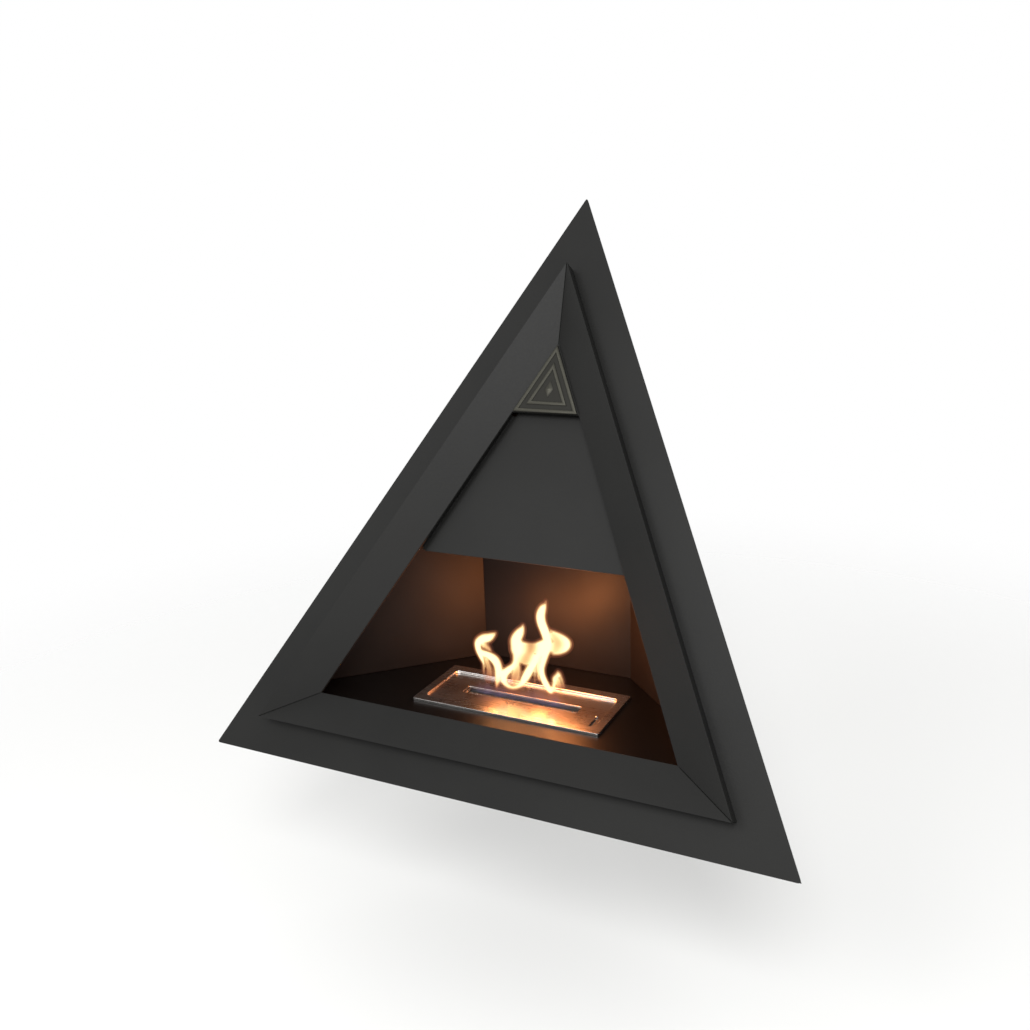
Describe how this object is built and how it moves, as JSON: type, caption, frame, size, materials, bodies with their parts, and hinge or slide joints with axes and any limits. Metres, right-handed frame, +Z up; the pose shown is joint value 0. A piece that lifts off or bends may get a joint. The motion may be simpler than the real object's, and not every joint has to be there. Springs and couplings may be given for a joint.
{
  "type": "corner fireplace",
  "caption": "Wall-hung alcohol-burning fireplace that closes a room corner with a leaning triangular steel face and a drop-in burner.",
  "frame": {"origin": "on the upright line where the two room walls meet, level with the casing's underside", "axes": "+Z up, -Y out of the corner into the room, +X to the right seen from the room"},
  "size_m": [0.8994, 0.4524, 0.7995],
  "materials": {
    "coat": "matt black powder coat",
    "inner_coat": "matt heat-proof paint",
    "relief": "dark cast relief with rubbed edges",
    "stainless": "brushed stainless steel",
    "zinc": "zinc plated",
    "ceramic_wool": "matt ceramic fibre"
  },
  "bodies": {
    "casing": {"face_flange": "coat", "bezel_left": "coat", "bezel_right": "coat", "bezel_bottom": "coat", "emblem_plate": "relief", "emblem_nut_left": "zinc", "emblem_nut_right": "zinc", "visor_panel": "coat", "visor_bracket_left": "coat", "visor_bracket_right": "coat", "visor_stud_left": "zinc", "visor_stud_right": "zinc", "visor_nut_left": "zinc", "visor_nut_right": "zinc", "wall_plate_left": "coat", "wall_plate_right": "coat", "corner_angle": "coat", "casing_bottom": "coat", "hearth_plate": "inner_coat", "firebox_back": "inner_coat", "firebox_side_left": "inner_coat", "firebox_side_right": "inner_coat", "standoff_lower_left": "zinc", "standoff_lower_right": "zinc", "standoff_upper_left": "zinc", "standoff_upper_right": "zinc"},
    "burner": {"burner_tray": "stainless", "burner_tank": "stainless", "slot_grille": "stainless", "shutter_runner_left": "stainless", "shutter_runner_right": "stainless", "ceramic_wool": "ceramic_wool"},
    "shutter": {"shutter_plate": "stainless", "shutter_pin": "stainless"}
  },
  "joints": [
    {"name": "burner_lift", "type": "slide", "parent": "casing", "child": "burner", "axis": [0, 0, 1], "range_m": [0, 0.09]},
    {"name": "shutter_slide", "type": "slide", "parent": "burner", "child": "shutter", "axis": [0, -1, 0], "range_m": [0, 0.0265]}
  ]
}
